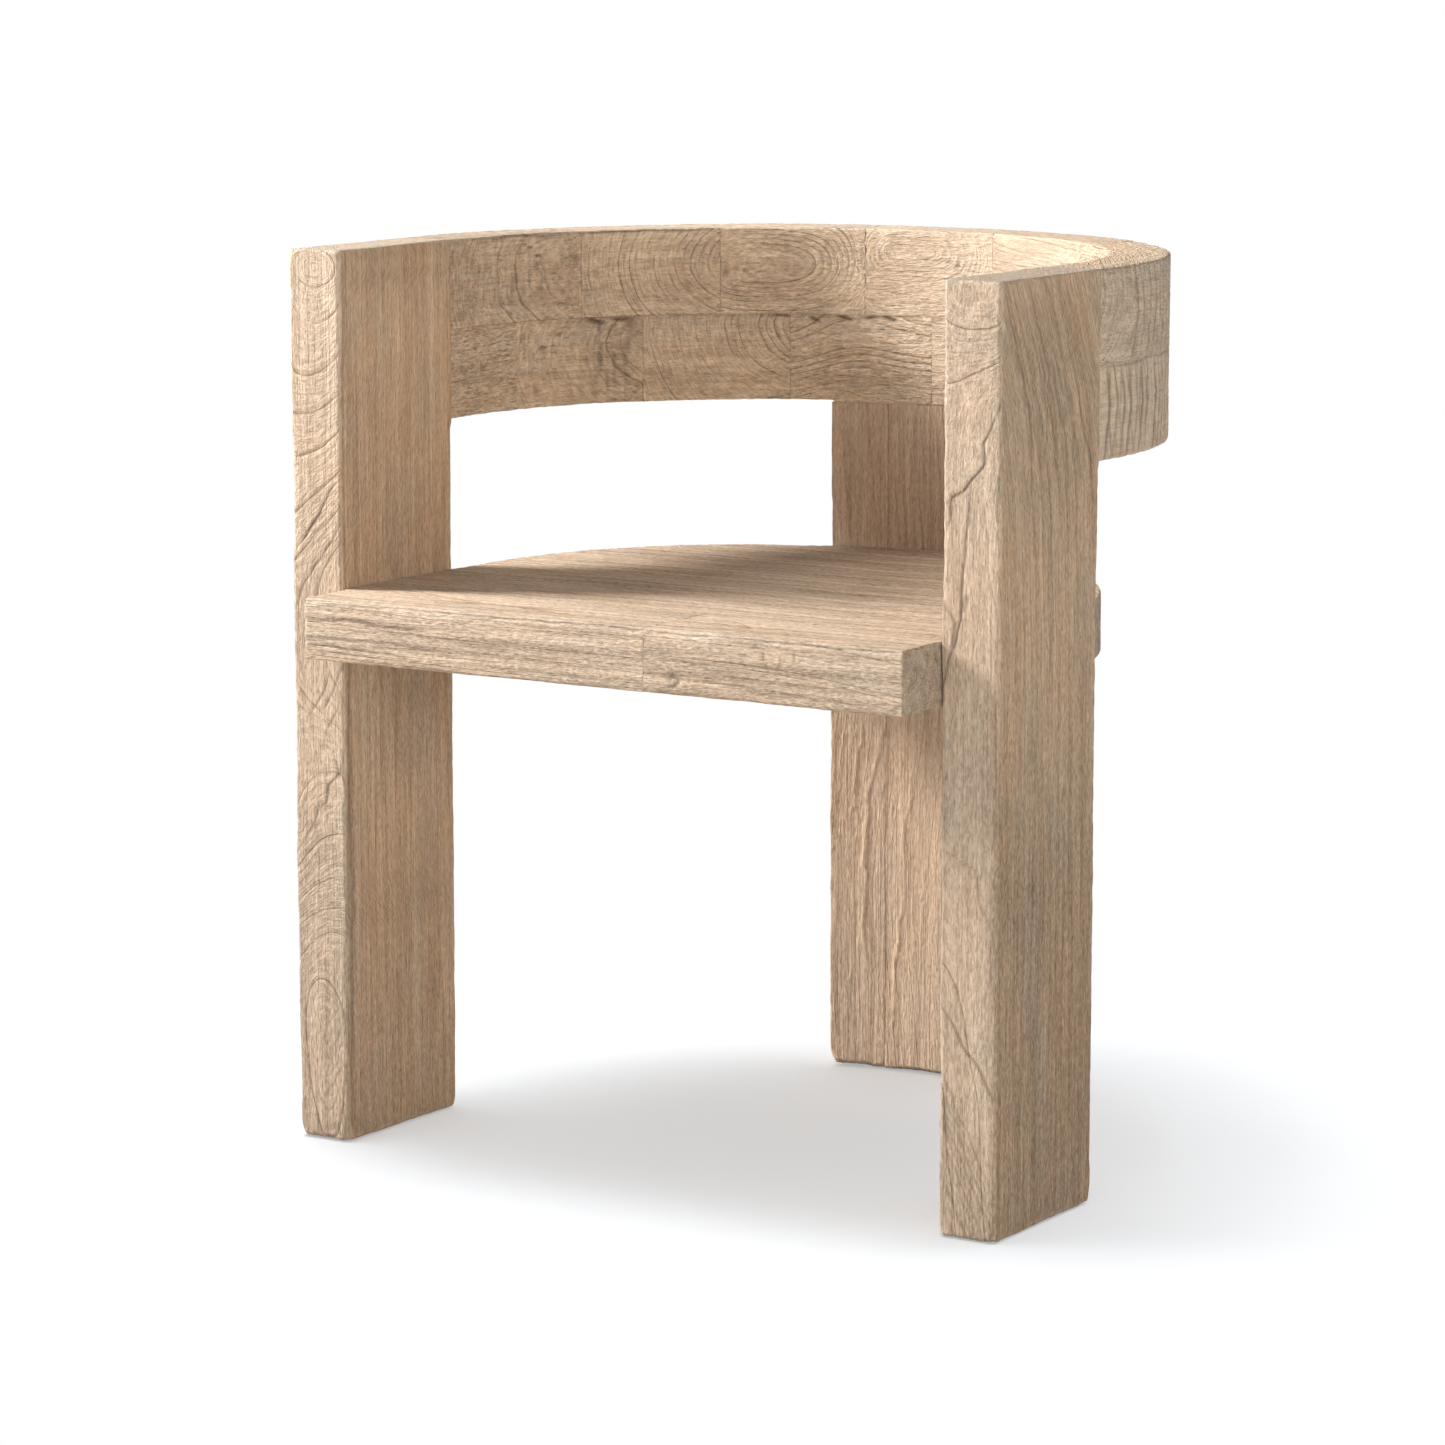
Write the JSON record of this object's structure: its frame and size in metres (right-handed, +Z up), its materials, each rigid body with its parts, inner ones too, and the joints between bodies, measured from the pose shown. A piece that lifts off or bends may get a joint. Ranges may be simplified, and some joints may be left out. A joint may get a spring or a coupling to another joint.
{
  "type": "dining chair",
  "caption": "Armchair for dining in thick weathered wood: slab front legs, a curved rear leg, a U-shaped arm and back rail and a flat seat rounded at the back.",
  "frame": {"origin": "on the floor, under the middle of the chair's bounding box", "axes": "+Z up, -Y the way the chair faces, X across the seat"},
  "size_m": [0.638, 0.556, 0.71],
  "materials": {
    "front_leg_wood": "wire-brushed weathered hardwood, dry and matt",
    "rear_leg_wood": "wire-brushed weathered hardwood, dry and matt",
    "rail_wood": "wire-brushed weathered hardwood, dry and matt",
    "seat_wood": "sanded and lightly brushed weathered hardwood, dry and matt",
    "tenon_wood": "planed hardwood, glued in"
  },
  "bodies": {
    "root": {"left_front_leg": "front_leg_wood", "right_front_leg": "front_leg_wood", "rear_leg_left_stave": "rear_leg_wood", "rear_leg_middle_stave": "rear_leg_wood", "rear_leg_right_stave": "rear_leg_wood", "lower_rail_1": "rail_wood", "lower_rail_2": "rail_wood", "lower_rail_3": "rail_wood", "lower_rail_4": "rail_wood", "lower_rail_5": "rail_wood", "lower_rail_6": "rail_wood", "lower_rail_7": "rail_wood", "lower_rail_8": "rail_wood", "upper_rail_1": "rail_wood", "upper_rail_2": "rail_wood", "upper_rail_3": "rail_wood", "upper_rail_4": "rail_wood", "upper_rail_5": "rail_wood", "upper_rail_6": "rail_wood", "upper_rail_7": "rail_wood", "seat_board_front_left": "seat_wood", "seat_board_front_right": "seat_wood", "seat_board_2": "seat_wood", "seat_board_3": "seat_wood", "seat_board_4": "seat_wood", "seat_board_5": "seat_wood", "seat_board_6": "seat_wood", "seat_tenon_left_front": "tenon_wood", "seat_tenon_left_rear": "tenon_wood", "seat_tenon_right_front": "tenon_wood", "seat_tenon_right_rear": "tenon_wood", "seat_tenon_back_left": "tenon_wood", "seat_tenon_back_right": "tenon_wood", "rail_tenon_left_lower": "tenon_wood", "rail_tenon_left_upper": "tenon_wood", "rail_tenon_right_lower": "tenon_wood", "rail_tenon_right_upper": "tenon_wood", "rear_leg_tenon_left": "tenon_wood", "rear_leg_tenon_right": "tenon_wood"}
  },
  "joints": []
}
